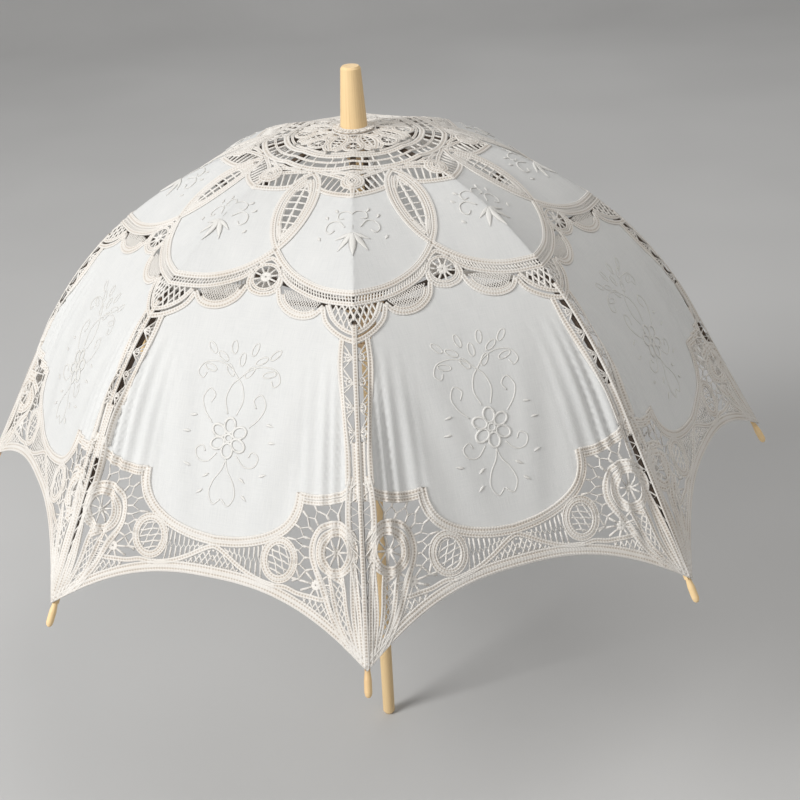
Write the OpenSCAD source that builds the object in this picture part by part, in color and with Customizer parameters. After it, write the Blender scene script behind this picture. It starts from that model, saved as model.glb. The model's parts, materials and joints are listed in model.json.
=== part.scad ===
// Lace parasol with eight bowed wooden ribs, shown open.
// The origin is on the axis in the middle of the grip, +Z points up to the ferrule.

/* [Canopy] */
// Radius of the arc that the cloth makes over a rib
dome_r = 358; // [340:1:380]
// Slope at which the bowed part of a rib ends and its straight part begins
bow_end = 61.5; // [55:0.5:66]
// Length of the straight outer part of a rib, up to the wooden tip's end
straight_len = 179; // [160:1:190]
// Length of wooden tip that stands out past the cloth
tip_len = 22; // [15:1:30]
// Height of the hem's scallop between two ribs, measured along the cloth
scallop = 50; // [30:1:90]
// Thickness of the cloth and lace
cloth_t = 1; // [0.6:0.1:1.2]

/* [Shaft] */
// Height of the top of the cloth above the origin
apex_z = 612; // [590:1:640]
// Length of the grip below the origin
grip_len = 60; // [50:1:75]
// Radius of the wooden shaft
shaft_r = 6.5; // [6:0.1:6.5]
// Height of the wooden ferrule above the cloth
ferrule_len = 58; // [40:1:75]
// Radius of the ferrule where it meets the cloth
ferrule_base_r = 12.4; // [11:0.1:14]
// Radius of the ferrule near its top
ferrule_top_r = 9.3; // [8:0.1:10]

/* [Frame] */
// Width of an inner rib and of a stretcher
rib_w = 5; // [4.6:0.1:5]
// Thickness of a rib and of a stretcher
rib_t = 4; // [3.4:0.1:4]
// Angle on the bow, from the top, of the pin that joins rib and stretcher
pin_angle = 40; // [36:0.5:44]
// Radius of the circle of pivots in the top notch and in the runner
pivot_r = 14; // [13.5:0.1:14.5]
// Radius of the pins
pin_r = 1; // [0.8:0.05:1]
// Outer radius of the notch and of the runner's crown
crown_r = 19; // [18:0.5:20]
// Length of the runner's sleeve below its crown
sleeve_len = 38; // [30:1:44]
// Angle that an inner rib turns through as the parasol closes
fold_angle = 64; // [60:1:65]

/* [Hidden] */
RIBS = 8;
HALF = 180 / RIBS;
// How fast the hem drops from the middle of a gore to a rib's point
hem_power = 2.5;
CLEAR = 0.3;
arc_c = apex_z - dome_r;
// The rib's centre line lies far enough below the cloth for its edges to clear the fold
rib_arc = dome_r - cloth_t - rib_t / 2 - 1.2;
pin_arc = rib_arc - 3.8;
outer_w = rib_w - 0.4;
slot_w = rib_w + 0.6;
slot_in = 9.6;
cheek_t = 0.7;
tine_in = rib_w / 2 + cheek_t + 0.2;
tine_t = 1.5;
eye_r = 2.6;
// Positions in the plane of one rib, as [radius, height]
notch_a = asin(pivot_r / rib_arc);
notch_p = [pivot_r, arc_c + rib_arc * cos(notch_a)];
pin_p = [pin_arc * sin(pin_angle), arc_c + pin_arc * cos(pin_angle)];
runner_p = [pivot_r, 2 * pin_p[1] - notch_p[1]];
stretch_len = norm(pin_p - runner_p);
stretch_a = atan2(pin_p[1] - runner_p[1], pin_p[0] - runner_p[0]);
sleeve_r = 10.5;
runner_half = 5;
runner_bottom = runner_p[1] - runner_half - sleeve_len;
catch_len = 30;
catch_w = 2.4;
catch_slot_w = 3;
// Height of each catch's pivot: one below the open runner, one below the closed runner's crown
runner_travel = 2 * stretch_len * (sin(stretch_a + fold_angle) - sin(stretch_a));
catch_low_z = runner_bottom - runner_travel - catch_len - 2;
catch_high_z = runner_bottom - catch_len - 2;
catch_az = -90 + HALF;
cap_r = 19;
cloth_start_r = 16;
joint_a = pin_angle + 0.25;
end_len = straight_len - tip_len;

// Length along the cloth over a rib, from the axis to a slope angle a, and to the hem's point
bow_len = dome_r * bow_end * PI / 180;
cloth_len = bow_len + end_len;
split_len = dome_r * joint_a * PI / 180;
start_len = dome_r * asin(cloth_start_r / dome_r) * PI / 180;

// Point [radius, height] on the rib line at length s and at depth d below the cloth's face
function rib_point(s, d) =
    let (a = min(s / dome_r * 180 / PI, bow_end), rest = max(s - bow_len, 0))
    [(dome_r - d) * sin(a) + rest * cos(a), arc_c + (dome_r - d) * cos(a) - rest * sin(a)];

// The same point carried sideways by a share t, from -1 to 1, towards the middle of the gore
function cloth_point(s, t, d) =
    let (p = rib_point(s, d), side = p[0] * cos(HALF) * sin(HALF) - 0.2)
    [p[0] - abs(t) * side * tan(HALF), t * side, p[1]];

// Length along the cloth at which the scalloped hem ends, at the share t
function hem_len(t) = cloth_len - scallop * (1 - pow(1 - abs(t), hem_power));

// Turns a shape drawn in the XZ plane to the place of rib k
module at_rib(k) { rotate([0, 0, 45 * (k - 1) - 90]) children(); }

// Moves a shape to a point [radius, height] and turns it down by a slope angle
module at_point(p, a) { translate([p[0], 0, p[1]]) rotate([0, a, 0]) children(); }

// A rod along Y, centred on the origin
module cross_rod(r, w) { rotate([90, 0, 0]) cylinder(r = r, h = w, center = true, $fn = 32); }

// A stretch of bowed bar between two slope angles
module bow_bar(arc, a1, a2, w, t) {
    translate([0, 0, arc_c])
        rotate([90, 0, 0])
            rotate_extrude(angle = a2 - a1, start = 90 - a2, $fn = 360)
                translate([arc - t / 2, -w / 2]) square([t, w]);
}

// A thin closed shell of cloth from length s0 to s1 at the hem's share, over one rib
module cloth_shell(rows, cols, s0, s1) {
    ts = [for (j = [0:cols]) 2 * j / cols - 1];
    grid = [for (d = [0, cloth_t]) for (i = [0:rows]) for (t = ts)
        cloth_point(s0 + (s1(t) - s0) * i / rows, t, d)];
    n = cols + 1;
    layer = n * (rows + 1);
    quads_out = [for (i = [0:rows - 1]) for (j = [0:cols - 1])
        [i * n + j, i * n + j + 1, (i + 1) * n + j + 1, (i + 1) * n + j]];
    quads_in = [for (q = quads_out) [for (m = [3:-1:0]) q[m] + layer]];
    rim_top = [for (j = [0:cols - 1]) [j + 1, j, j + layer, j + 1 + layer]];
    rim_low = [for (j = [0:cols - 1]) let (b = rows * n + j) [b, b + 1, b + 1 + layer, b + layer]];
    rim_a = [for (i = [0:rows - 1]) [i * n, (i + 1) * n, (i + 1) * n + layer, i * n + layer]];
    rim_b = [for (i = [0:rows - 1]) let (b = i * n + cols) [b + n, b, b + layer, b + n + layer]];
    polyhedron(points = grid, faces = concat(quads_out, quads_in, rim_top, rim_low, rim_a, rim_b), convexity = 6);
}

module crown_slots(z) {
    for (k = [1:RIBS])
        at_rib(k) translate([slot_in, -slot_w / 2, z - 10]) cube([crown_r, slot_w, 20]);
}

module catch_slot(z) {
    rotate([0, 0, catch_az])
        translate([-1, -catch_slot_w / 2, z - 3]) cube([shaft_r + 2, catch_slot_w, catch_len + 5]);
}

module shaft() {
    color("burlywood") difference() {
        union() {
            translate([0, 0, 3 - grip_len]) cylinder(r = shaft_r, h = apex_z + 20 + grip_len - 3, $fn = 64);
            translate([0, 0, -grip_len]) cylinder(r1 = shaft_r - 2, r2 = shaft_r, h = 3, $fn = 64);
        }
        // Turned ring that marks the top of the grip
        translate([0, 0, grip_len]) rotate_extrude($fn = 64)
            translate([shaft_r + 0.3, 0]) circle(r = 1.3, $fn = 24);
        catch_slot(catch_high_z);
        catch_slot(catch_low_z);
    }
}

module ferrule() {
    base_z = apex_z + 1.6;
    color("burlywood") difference() {
        rotate_extrude($fn = 64) polygon([
            [0, base_z], [ferrule_base_r - 0.8, base_z], [ferrule_base_r, base_z + 0.8],
            [ferrule_base_r, base_z + 3], [ferrule_top_r, apex_z + ferrule_len - 2],
            [ferrule_top_r - 1.6, apex_z + ferrule_len], [0, apex_z + ferrule_len]
        ]);
        translate([0, 0, apex_z - 5]) cylinder(r = shaft_r + 0.05, h = 25.05, $fn = 64);
    }
}

module crown_cap() {
    color("ivory") rotate_extrude($fn = 64) polygon([
        [shaft_r + 0.1, apex_z + 0.5], [ferrule_base_r, apex_z + 0.5], [cap_r, apex_z + 0.1],
        [cap_r, apex_z + 0.9], [ferrule_base_r, apex_z + 1.5], [shaft_r + 0.1, apex_z + 1.5]
    ]);
}

module top_notch() {
    groove = pin_r + 0.1;
    color("tan") difference() {
        translate([0, 0, apex_z - 14]) union() {
            cylinder(r = crown_r, h = 12, $fn = 64);
            translate([0, 0, -14]) cylinder(r1 = 8.6, r2 = slot_in - 0.2, h = 14.5, $fn = 64);
        }
        translate([0, 0, apex_z - 40]) cylinder(r = shaft_r + 0.05, h = 50, $fn = 64);
        crown_slots(apex_z - 8);
        translate([0, 0, notch_p[1]]) rotate_extrude($fn = 64) translate([pivot_r - groove, -groove])
            square([2 * groove, 12]);
    }
}

module notch_wire() {
    color("silver") translate([0, 0, notch_p[1]]) rotate_extrude($fn = 64)
        translate([pivot_r, 0]) circle(r = pin_r - 0.2, $fn = 24);
}

module runner() {
    color("tan") difference() {
        union() {
            translate([0, 0, runner_p[1] - runner_half]) cylinder(r = crown_r, h = 2 * runner_half, $fn = 64);
            translate([0, 0, runner_bottom]) cylinder(r = sleeve_r, h = sleeve_len + 1, $fn = 64);
            translate([0, 0, runner_bottom]) cylinder(r = sleeve_r + 0.9, h = 5, $fn = 64);
        }
        translate([0, 0, runner_bottom - 1]) cylinder(r = shaft_r + 0.08, h = 80, $fn = 64);
        crown_slots(runner_p[1]);
        rotate([0, 0, catch_az]) translate([0, -1.9, runner_bottom - 1]) cube([9.3, 3.8, 80]);
    }
}

// Leaf catch with a tooth that stops the runner, drawn with its pivot at the height z
module catch_leaf(z) {
    color("silver") rotate([0, 0, catch_az]) translate([0, catch_w / 2, z]) rotate([90, 0, 0])
        linear_extrude(catch_w) polygon([
            [3.6, -2], [5.2, -2], [5.6, 2], [6, catch_len - 8], [8.8, catch_len - 2],
            [8.8, catch_len], [4.6, catch_len], [4.4, catch_len - 8], [3.8, 2]
        ]);
}

module upper_catch() { catch_leaf(catch_high_z); }

module lower_catch() { catch_leaf(catch_low_z); }

module rib_inner(k) {
    end_a = pin_angle - 5 / rib_arc * 180 / PI;
    color("burlywood") at_rib(k) difference() {
        union() {
            bow_bar(rib_arc, notch_a, end_a, rib_w, rib_t);
            at_point(notch_p, 0) cross_rod(eye_r, rib_w);
        }
        at_point(notch_p, 0) cross_rod(pin_r + 0.15, rib_w + 2);
    }
}

module rib_outer(k) {
    bend_p = [rib_arc * sin(bow_end), arc_c + rib_arc * cos(bow_end)];
    color("burlywood") at_rib(k) difference() {
        union() {
            bow_bar(rib_arc, joint_a, bow_end, outer_w, rib_t);
            at_point(pin_p, 0) cross_rod(eye_r, outer_w);
            at_point(bend_p, bow_end) translate([-0.1, -outer_w / 2, -rib_t / 2])
                cube([end_len + 0.1, outer_w, rib_t]);
            // Turned wooden tip
            at_point(bend_p, bow_end) rotate([0, 90, 0]) rotate_extrude($fn = 48) polygon([
                [0, end_len - 3], [1.9, end_len - 3], [2.2, end_len], [3.2, end_len + 8], [3.2, straight_len - 4],
                [2.6, straight_len - 1.5], [1.3, straight_len], [0, straight_len]
            ]);
        }
        at_point(pin_p, 0) cross_rod(pin_r + 0.06, outer_w + 2);
    }
}

module rib_bracket(k) {
    color("silver") at_rib(k) at_point(pin_p, pin_angle) {
        for (side = [-1, 1])
            translate([0, side * (rib_w + cheek_t) / 2 + cheek_t / 2, 0]) rotate([90, 0, 0])
                linear_extrude(cheek_t) union() {
                    circle(r = eye_r, $fn = 48);
                    polygon([[-16, 2.2], [-16, 5.2], [-2, 5.4], [2.4, 1], [-1, -2.3]]);
                }
        cross_rod(pin_r, 2 * (tine_in + tine_t) + 0.8);
    }
}

module stretcher(k) {
    fork = 26;
    tines = tine_in + tine_t;
    color("burlywood") at_rib(k) at_point(runner_p, -stretch_a) difference() {
        union() {
            cross_rod(eye_r, rib_w);
            translate([0, -rib_w / 2, -rib_t / 2]) cube([stretch_len - fork - 4, rib_w, rib_t]);
            translate([stretch_len - fork - 8, -tines, -rib_t / 2]) cube([fork + 8, 2 * tines, rib_t]);
            translate([stretch_len, 0, 0]) cross_rod(eye_r, 2 * tines);
        }
        translate([stretch_len - fork, -tine_in, -5]) cube([fork + 10, 2 * tine_in, 10]);
        translate([stretch_len, 0, 0]) cross_rod(pin_r + 0.06, 2 * tines + 2);
        cross_rod(pin_r + 0.15, rib_w + 2);
    }
}

module canopy_upper(k) {
    color("ivory") at_rib(k) cloth_shell(9, 4, start_len, function(t) split_len);
}

module canopy_lower(k) {
    color("ivory") at_rib(k) cloth_shell(10, 10, split_len + CLEAR, function(t) hem_len(t));
}

shaft();
ferrule();
crown_cap();
top_notch();
notch_wire();
runner();
upper_catch();
lower_catch();
for (k = [1:RIBS]) {
    rib_inner(k);
    rib_outer(k);
    rib_bracket(k);
    stretcher(k);
    canopy_upper(k);
    canopy_lower(k);
}
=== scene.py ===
import json
from math import cos, pi, radians, sin, tan

import bmesh
import bpy
import numpy as np
from mathutils import Matrix, Vector
from mathutils.geometry import delaunay_2d_cdt

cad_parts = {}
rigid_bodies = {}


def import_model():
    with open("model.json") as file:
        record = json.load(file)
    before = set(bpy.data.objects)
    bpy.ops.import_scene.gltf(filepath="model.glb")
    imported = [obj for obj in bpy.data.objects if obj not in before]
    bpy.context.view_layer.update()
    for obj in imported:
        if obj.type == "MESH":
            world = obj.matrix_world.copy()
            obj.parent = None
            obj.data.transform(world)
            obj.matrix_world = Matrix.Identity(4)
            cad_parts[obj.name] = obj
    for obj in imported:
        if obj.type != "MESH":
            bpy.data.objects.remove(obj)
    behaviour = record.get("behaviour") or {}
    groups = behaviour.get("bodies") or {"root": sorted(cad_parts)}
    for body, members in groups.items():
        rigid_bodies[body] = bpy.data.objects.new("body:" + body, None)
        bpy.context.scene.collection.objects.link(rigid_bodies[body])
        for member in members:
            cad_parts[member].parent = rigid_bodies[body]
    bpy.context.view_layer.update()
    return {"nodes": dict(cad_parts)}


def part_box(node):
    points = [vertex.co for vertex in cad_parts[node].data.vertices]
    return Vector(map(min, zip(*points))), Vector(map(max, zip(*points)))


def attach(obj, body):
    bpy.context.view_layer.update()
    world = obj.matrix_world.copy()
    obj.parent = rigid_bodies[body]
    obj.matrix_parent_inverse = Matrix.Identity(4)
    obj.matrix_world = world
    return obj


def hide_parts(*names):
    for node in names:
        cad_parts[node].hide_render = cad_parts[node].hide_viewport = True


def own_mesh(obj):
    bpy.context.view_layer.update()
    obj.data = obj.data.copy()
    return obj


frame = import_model()

# ---------------------------------------------------------------- driving sizes
# Lengths are in millimetres, and MM turns them into metres
MM = 0.001
RIBS = 8
# Half the angle of a gore, the part of the cover between two ribs
HALF = radians(180 / RIBS)
# A rib is an arc of this radius down to the slope BOW_END, and straight below it
DOME_R = 358.0
BOW_END = radians(61.5)
BOW_LEN = DOME_R * BOW_END
# Length along the cloth from the axis: where the cover starts, where its upper part meets
# its lower part over the brackets, its hem's point at a rib, and a length past the hem
START = 16.0
SPLIT = DOME_R * radians(40.25)
TIP_START = BOW_LEN + 157.0
PAST_HEM = 560
# How far the hem is higher in the middle of a gore, and how fast it drops towards a rib
SCALLOP = 50.0
HEM_POWER = 2.5
# How far the hem's lace may stand past the hem
HEM_PROUD = 0.8
# Depth of the cloth under the outer face of the CAD's cover
CLOTH_DEPTH = 0.35
# Height of that outer face on the axis, and of the middle of the ribs' arc
APEX_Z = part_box("canopy_upper_1")[1][2] / MM + DOME_R * (1 - cos(START / DOME_R))
ARC_Z = APEX_Z - DOME_R
# Half the width of the strip over a rib that stays wide when the parasol folds
RIDGE = 5.0
# Height in metres above which a rib is painted near-black, painted shade of the wood under the cover: only
# its turned tip is pale
TIP_TOP = 0.292
TIP_BLEND = 0.002

# Soft shapes of the cloth: heights of the pleats beside a rib, of the drag lines, of the
# sag between two ribs and of the slack in the middle of a gore, and where the pleats start
PLEAT_HEIGHT = 2.5
DRAG_HEIGHT = 0.7
SAG_DEPTH = 2.2
SLACK_HEIGHT = 0.5
PLEATS_FROM = 285
# Distance from a rib over which the cloth turns from one gore to the next
ROUNDED = 4.0

# The flat drawing's share runs from 0 in the middle of a gore to this at the rib
FULL_SHARE = 100.0
# The length s at which the share is measured at the least, because the gore has no width at the axis
LEAST_S = 5
# Thread UVs are in hundreds of millimetres
UV_PER_MM = 0.01
MM_PER_UV = 100


# ---------------------------------------------------------------- the cover's surface
# A point of the cover is (lat, s, h) in millimetres: lat across from the middle of a gore,
# s along the cloth from the axis, h above the cloth.

def rise(x, start, over):
    """0 up to start, then an even rise to 1."""
    return np.clip((x - start) / over, 0, 1)


def rib_line(s):
    """Radius and height of the cloth over a rib at length s, and the slope there."""
    s = np.asarray(s, float)
    a = np.minimum(s / DOME_R, BOW_END)
    rest = np.maximum(s - BOW_LEN, 0)
    return DOME_R * np.sin(a) + rest * np.cos(a), ARC_Z + DOME_R * np.cos(a) - rest * np.sin(a), a


def half_width(s):
    """Distance from the middle of a gore to its rib."""
    return rib_line(s)[0] * sin(HALF)


def hem(t):
    """Length s of the hem at the share t, from 0 at the middle of a gore to 1 at a rib."""
    return TIP_START - SCALLOP + SCALLOP * np.abs(t) ** HEM_POWER


def creases(t, s, gore):
    """Height of the soft folds in the cloth: t from 0 to 1 at the rib, with a sign for the side."""
    side = np.sign(t) + (t == 0)
    u = np.abs(t)
    low = rise(s, PLEATS_FROM, 80) * rise(hem(u) - s, 0, 70)
    held = rise(1 - u, 0, 0.06)
    # pleats fan out from the rib, uneven and different in each gore
    fan = u * 62 + 1.7 * gore + side + 0.012 * (s - 380)
    pleats = PLEAT_HEIGHT * np.sin(fan + 0.9 * np.sin(fan * 0.37)) * rise(u, 0.45, 0.35) ** 1.5 * low
    drag = DRAG_HEIGHT * np.sin(u * 19 + s * 0.035 + 2.1 * gore) * rise(u, 0, 0.25) * low
    sag = -SAG_DEPTH * np.sin(pi * rise(s, 0, TIP_START)) * (1 - u ** 2)
    slack = SLACK_HEIGHT * np.sin(s * 0.045 + gore * 1.3) * np.sin(u * pi) * rise(s, 60, 80)
    return (pleats + drag + slack) * held + sag


def place(points, side, gore):
    """Puts flat points (share t, s, h) of a half gore on the cover, beside the rib on +X."""
    t, s, h = points.T
    r, z, a = rib_line(s)
    u = (1 - t) * r * sin(HALF) * cos(HALF)
    h = h - CLOTH_DEPTH + creases(side * t, s, gore)
    lean = rise(u, 0, ROUNDED) * HALF
    nx, ny, nz = np.sin(a) * np.cos(lean), np.sin(a) * np.sin(lean), np.cos(a)
    x = r - u * tan(HALF) + nx * h
    y = u + ny * h
    return np.stack([x, -side * y, z + nz * h], 1)


# ---------------------------------------------------------------- drawing in the flat
def curve(points, step=2.0, closed=False):
    """A smooth line through the points, sampled about every step."""
    p = np.array(points, float)
    if closed:
        p = np.vstack([p[-1], p, p[0], p[1]])
    else:
        p = np.vstack([2 * p[0] - p[1], p, 2 * p[-1] - p[-2]])
    out = []
    for i in range(1, len(p) - 2):
        n = max(2, int(np.hypot(*(p[i + 1] - p[i])) / step))
        t = (np.arange(n) / n)[:, None]
        a, b, c, d = p[i - 1], p[i], p[i + 1], p[i + 2]
        out.append(0.5 * (2 * b + (c - a) * t + (2 * a - 5 * b + 4 * c - d) * t ** 2
                          + (3 * b - a - 3 * c + d) * t ** 3))
    if not closed:
        out.append(p[-2][None])
    return np.vstack(out)


def oval(cx, cy, rx, ry, turn=0.0, n=40):
    """A closed oval, turned by an angle."""
    a = np.arange(n) * 2 * pi / n
    x, y = rx * np.cos(a), ry * np.sin(a)
    return np.stack([cx + x * cos(turn) - y * sin(turn), cy + x * sin(turn) + y * cos(turn)], 1)


def normals(p, closed):
    """Unit normals of a flat line."""
    if closed:
        d = np.roll(p, -1, 0) - np.roll(p, 1, 0)
    else:
        d = np.gradient(p, axis=0)
    d /= np.maximum(np.hypot(*d.T), 1e-9)[:, None]
    return np.stack([-d[:, 1], d[:, 0]], 1)


def beside(p, offset, closed=False):
    """The line p moved sideways by an offset."""
    return p + normals(p, closed) * offset


def resample(p, n):
    """n points evenly along the line p."""
    d = np.r_[0, np.cumsum(np.hypot(*np.diff(p, axis=0).T))]
    at = np.linspace(0, d[-1], n)
    return np.stack([np.interp(at, d, p[:, 0]), np.interp(at, d, p[:, 1])], 1)


def length(p):
    """Length of the line p."""
    return float(np.hypot(*np.diff(p, axis=0).T).sum())


# Cross-sections, as (share of the half width, share of the height): tape has raised edges
TAPE = [(-1, -0.3), (-0.84, 0.75), (-0.4, 0.68), (0, 0.1), (0.4, 0.68), (0.84, 0.75), (1, -0.3)]
CORD = [(-1, 0), (-0.5, 0.9), (0.5, 0.9), (1, 0), (0, -0.7)]
THREAD = [(-1, 0), (0, 0.8), (1, 0), (0, -0.8)]
# Half widths of a common tape, a cord, and thread from fine to thick
TAPE_HALF = 2.7
CORD_HALF = 0.75
FINE = 0.42
FIRM = 0.75
STOUT = 0.95
BAR = 1.05
THICK = 1.1
# The UV across anything but tape, where it runs from -1 to 1
PLAIN = 3.0


class Drawing:
    """Collects swept lines as one flat mesh of points (lat, s, h) with a UV in millimetres."""

    def __init__(self):
        self.verts, self.faces, self.uvs, self.slots = [], [], [], []
        self.count = 0
        self.slot = 0

    def sweep(self, line, shape, half, height, lift, closed):
        """A cross-section swept along a flat line, lifted off the cloth."""
        line = np.asarray(line, float)
        n, m = len(line), len(shape)
        side = normals(line, closed)
        half = np.broadcast_to(half, n)
        along = np.r_[0, np.cumsum(np.hypot(*np.diff(line, axis=0).T))]
        for (a, h) in shape:
            flat = line + side * (a * half)[:, None]
            self.verts.append(np.c_[flat, np.full(n, h * height + lift)])
            self.uvs.append(np.c_[along, np.full(n, a if shape is TAPE else PLAIN)])
        base = self.count
        last = n if closed else n - 1
        for i in range(last):
            j = (i + 1) % n
            for k in range(m):
                q = (k + 1) % m
                self.faces.append((base + k * n + i, base + q * n + i, base + q * n + j, base + k * n + j))
        if not closed:
            self.faces.append([base + k * n for k in range(m)][::-1])
            self.faces.append([base + k * n + n - 1 for k in range(m)])
        self.slots += [self.slot] * (len(self.faces) - len(self.slots))
        self.count += n * m

    def tape(self, points, half=TAPE_HALF, closed=False, lift=0.25, smooth=True):
        """A woven tape through the points, and the line that it follows."""
        line = curve(points, closed=closed) if smooth else np.asarray(points, float)
        self.sweep(line, TAPE, half, 1.0, lift, closed)
        return line

    def cord(self, points, half=CORD_HALF, closed=False, lift=0.3, smooth=True):
        """A round cord through the points."""
        line = curve(points, 1.5, closed) if smooth else np.asarray(points, float)
        self.sweep(line, CORD, half, half, lift, closed)

    def thread(self, points, half=FINE, closed=False, lift=0.1):
        """A straight-run thread from point to point."""
        self.sweep(points, THREAD, half, half, lift, closed)

    def petal(self, cx, cy, long, wide, turn, lift=0.1):
        """A solid satin-stitch leaf, from its foot at (cx, cy)."""
        k = np.linspace(0.0, 1.0, 9)
        line = np.stack([cx + long * k * sin(turn), cy + long * k * cos(turn)], 1)
        self.sweep(line, CORD, np.maximum(wide * np.sin(pi * k ** 0.8), 0.12), 0.6, lift, False)


def inside_runs(poly, p, d):
    """Stretches of the line p + k d that lie inside a polygon, as pairs of k."""
    a, b = poly, np.roll(poly, -1, 0)
    n = np.array([-d[1], d[0]])
    da, db = (a - p) @ n, (b - p) @ n
    hit = (da > 0) != (db > 0)
    f = da[hit] / (da[hit] - db[hit])
    k = np.sort(((a[hit] + (b[hit] - a[hit]) * f[:, None]) - p) @ d)
    return list(zip(k[::2], k[1::2]))


def hatch(art, poly, gap, turn, half=FINE, wobble=0.0):
    """Straight threads across a polygon."""
    d = np.array([cos(turn), sin(turn)])
    n = np.array([-d[1], d[0]])
    across = poly @ n
    for c in np.arange(across.min() + gap / 2, across.max(), gap):
        for k0, k1 in inside_runs(poly, n * c, d):
            if k1 - k0 > 1.0:
                k = np.linspace(k0, k1, max(2, int((k1 - k0) / 3)))
                bend = wobble * np.sin(k * 1.1 + c * 2.3)
                art.thread(np.outer(k, d) + n * c + np.outer(bend, n), half)


def net(art, poly, gap, turn=radians(90), spread=radians(33), half=FINE):
    """A net of diamonds that fills a polygon."""
    hatch(art, poly, gap, turn - spread, half, 0.25)
    hatch(art, poly, gap, turn + spread, half, 0.25)


def ladder(art, a, b, gap, half=FINE):
    """Threads across the gap between two lines."""
    n = max(2, int(length(a) / gap))
    for p, q in zip(resample(a, n), resample(b, n)):
        art.thread(np.array([p, (p + q) / 2, q]), half)


def along(points, n):
    """n points on a polyline, even between one corner and the next."""
    p = np.array(points, float)
    at = np.linspace(0, len(p) - 1, n)
    k = np.arange(len(p))
    return np.stack([np.interp(at, k, p[:, 0]), np.interp(at, k, p[:, 1])], 1)


def brides(art, a, b, cells, half=0.7, wave=0.16):
    """Forked bars between two polylines of as many corners, which leave large uneven cells."""
    n = 2 * cells + 1
    pa, pb = along(a, n), along(b, n)
    share = 0.5 + wave * np.where(np.arange(n) % 2, 1, -1) * (1 + 0.3 * np.sin(3.7 * np.arange(n)))
    mid = pa * (1 - share)[:, None] + pb * share[:, None]
    art.thread(mid, half)
    for i in range(n):
        art.thread(np.array([pb[i] if i % 2 else pa[i], mid[i]]), half)


# ---------------------------------------------------------------- the lace pattern
# Each line is drawn on half a gore, as points (lat, s), and its mirror image is made with it.

def rib_side(s, inset):
    """A line along the rib, inset towards the middle of the gore."""
    s = np.asarray(s, float)
    return np.stack([half_width(s) - inset, s], 1)


def hem_line(inset, t0=-0.03, t1=1.02, n=60):
    """A line along the hem, moved up the cloth by inset."""
    t = np.linspace(t0, t1, n)
    s = hem(t) - inset
    return np.stack([t * half_width(s), s], 1)


# Outlines of the cotton panels and of the tapes along them
ALMOND = [(0, 98), (8, 109), (13.2, 126), (15, 145), (13, 165), (7.5, 183), (0, 197)]
UPPER_LOW = [(0, 198), (10, 209.5), (22, 219.5), (36, 227), (52, 232.2), (70, 234), (92, 233.8)]
BAND_LOW = [(13, 221), (22, 229.5), (36, 236.5), (52, 241.6), (70, 243.5), (96, 243.5)]
SCALLOP_A = [(13.6, 224), (14.4, 233), (9.5, 240.5), (-1, 243.5)]
SCALLOP_B = [(14.5, 236), (20, 249), (30, 257.5), (42, 260.5), (53, 257.5), (60, 248)]
SCALLOP_C = [(59.5, 249), (65, 261), (74, 269), (85, 274.5), (96, 277), (106, 277.5)]
PANEL_SIDE = [(84, 275), (87.5, 296), (94, 320), (101.5, 345), (108.5, 370), (113, 396)]
PANEL_NICK = [(114, 399), (106, 404), (95, 408), (83, 410), (71, 409.5)]
PANEL_LOW = [(70, 408), (69.3, 421), (64.5, 433), (55.3, 442.5), (41, 450.3), (20.5, 456), (-3, 458.5)]
# The wheel in the middle band and the two eyes of the lower border: (lat, s, half width, half height)
WHEEL = (0, 226.0, 11.5, 11.5)
RING_A = (60.5, 466, 10.2, 12.8)
RING_B = (110, 451.5, 10.2, 12.8)
# The tape round the second eye and down beside its leaf to the hem's point
RING_B_EDGE = [(125, 440), (118.5, 431.5), (108.5, 428), (99, 430), (91.5, 436.5), (88, 446), (88.3, 457),
               (92.5, 467), (99, 477.5), (104, 488), (109, 498), (116, 509), (125, 521.5), (136, 535),
               (147, 547)]
SPIDER = (95.5, 481)


def circle_line(radius, t0=-0.05, t1=1.05, n=24):
    """A line at an even radius round the ferrule."""
    t = np.linspace(t0, t1, n)
    s = radius / np.sqrt(cos(HALF) ** 2 + (t * sin(HALF)) ** 2)
    return np.stack([t * half_width(s), s], 1)


def medallion(art, x, s, rx, ry, legs):
    """A round eye of tape with a wound spider in it."""
    art.tape(oval(x, s, rx, ry), 1.9, closed=True, smooth=False, lift=0.45)
    spider(art, x, s, rx * 0.32, rx, ry, legs)


def spider(art, x, s, hub, rx, ry, legs, half=0.55, turn=0.0):
    """A solid wound hub with straight legs."""
    art.sweep(oval(x, s, hub * 0.54, hub * 0.54, n=18), CORD, hub * 0.5, 0.5, 0.35, True)
    for k in range(legs):
        a = 2 * pi * (k + 0.5) / legs + turn
        d = np.array([cos(a), sin(a)])
        ends = np.array([(x, s) + d * hub * 0.8, (x + rx * cos(a), s + ry * sin(a))])
        art.sweep(resample(ends, 3), THREAD, half, half, 0.15, False)


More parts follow.
